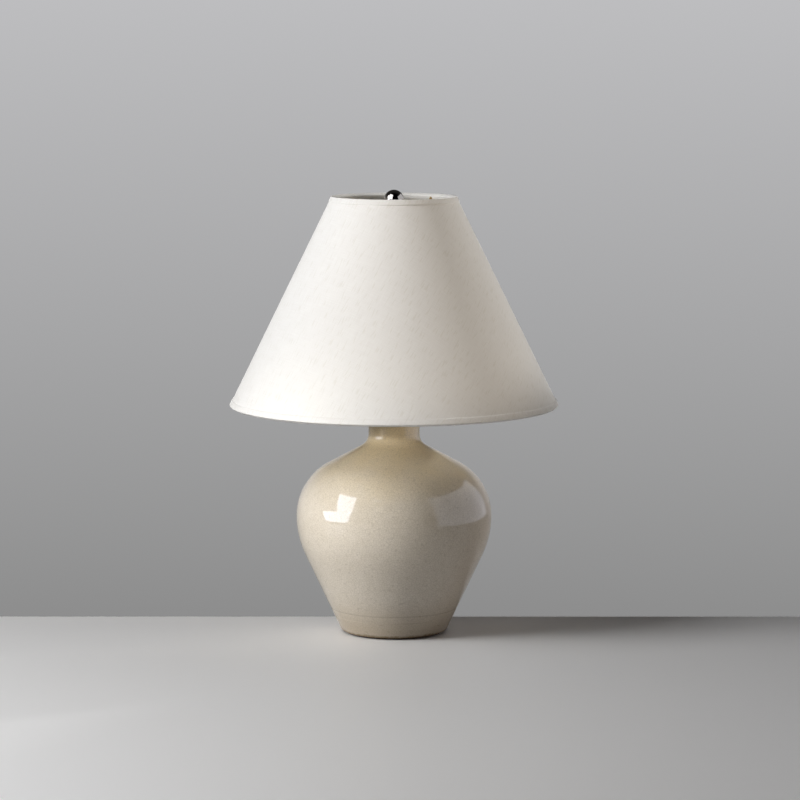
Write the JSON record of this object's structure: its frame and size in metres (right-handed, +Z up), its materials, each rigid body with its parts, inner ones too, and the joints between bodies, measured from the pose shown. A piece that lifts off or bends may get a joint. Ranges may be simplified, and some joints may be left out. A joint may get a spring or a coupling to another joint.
{
  "type": "pottery table lamp",
  "caption": "Table lamp with a glazed pottery vase base, a harp, a turn-switch lamp holder and bulb, and a conical linen shade held by a ball finial.",
  "frame": {"origin": "on the table, under the middle of the vase", "axes": "+Z up the lamp's axis; -Y is the front; +Y is the back, where the cord comes in"},
  "size_m": [0.4067, 0.4066, 0.5484],
  "materials": {
    "crackle_glaze": "glossy crackle glaze",
    "felt": "matted felt",
    "soft_rubber": "moulded",
    "zinc_steel": "zinc plated",
    "polished_nickel": "polished",
    "lamp_brass": "satin plated",
    "fibre_card": "pressed card",
    "moulded_black": "moulded",
    "frosted_glass": "frosted inside",
    "clear_glass": "clear",
    "black_glass": "fused",
    "bulb_aluminium": "rolled",
    "filament_wire": "drawn",
    "linen": "plain weave",
    "liner_film": "matt film",
    "ring_wire": "lacquered",
    "spider_brass": "satin plated"
  },
  "bodies": {
    "base": {"vase_body": "crackle_glaze", "vase_foot": "crackle_glaze", "base_felt": "felt", "cord_grommet": "soft_rubber", "lamp_pipe": "zinc_steel", "base_washer": "zinc_steel", "base_lock_washer": "zinc_steel", "base_hex_nut": "zinc_steel", "neck_gasket": "soft_rubber", "neck_cap": "polished_nickel", "check_ring": "polished_nickel", "harp_saddle": "polished_nickel", "harp_frame": "polished_nickel", "socket_cap": "lamp_brass", "socket_set_screw": "zinc_steel", "socket_shell": "lamp_brass", "socket_liner": "fibre_card", "socket_core": "moulded_black", "terminal_screws": "lamp_brass", "socket_screw_shell": "lamp_brass", "socket_centre_contact": "lamp_brass"},
    "switch": {"switch_shaft": "zinc_steel", "switch_knob": "moulded_black"},
    "bulb": {"bulb_globe": "frosted_glass", "bulb_screw_base": "bulb_aluminium", "bulb_base_insulator": "black_glass", "bulb_tip_contact": "bulb_aluminium", "bulb_stem": "clear_glass", "bulb_filament": "filament_wire"},
    "ferrule_left": {"harp_ferrule_left": "polished_nickel"},
    "ferrule_right": {"harp_ferrule_right": "polished_nickel"},
    "shade": {"shade_liner": "liner_film", "shade_linen": "linen", "shade_top_ring": "ring_wire", "shade_bottom_ring": "ring_wire", "shade_top_trim": "linen", "shade_bottom_trim": "linen", "spider_hub": "spider_brass", "spider_arm_right": "spider_brass", "spider_arm_left": "spider_brass", "spider_arm_front": "spider_brass", "harp_stud": "polished_nickel"},
    "finial_seat": {"finial_washer": "polished_nickel"},
    "finial": {"finial": "polished_nickel"}
  },
  "joints": [
    {"name": "switch_turn", "type": "hinge", "parent": "base", "child": "switch", "pos_m": [0, -0.025, 0.3285], "axis": [0, -1, 0], "continuous": true},
    {"name": "bulb_turn", "type": "hinge", "parent": "base", "child": "bulb", "pos_m": [0, 0, 0.34], "axis": [0, 0, 1], "range_deg": [0, 1800]},
    {"name": "ferrule_left_slide", "type": "slide", "parent": "base", "child": "ferrule_left", "axis": [0, 0, 1], "range_m": [0, 0.016]},
    {"name": "ferrule_right_slide", "type": "slide", "parent": "base", "child": "ferrule_right", "axis": [0, 0, 1], "range_m": [0, 0.016]},
    {"name": "shade_swivel", "type": "hinge", "parent": "base", "child": "shade", "pos_m": [0, 0, 0.51], "axis": [0, 0, 1], "continuous": true},
    {"name": "finial_turn", "type": "hinge", "parent": "shade", "child": "finial_seat", "pos_m": [0, 0, 0.52], "axis": [0, 0, 1], "range_deg": [0, 3450]},
    {"name": "finial_climb", "type": "slide", "parent": "finial_seat", "child": "finial", "axis": [0, 0, 1], "range_m": [0, 0.009]}
  ],
  "couplings": [
    {"joint": "finial_turn", "follows": "finial_climb", "rad_per_m": 6679}
  ]
}
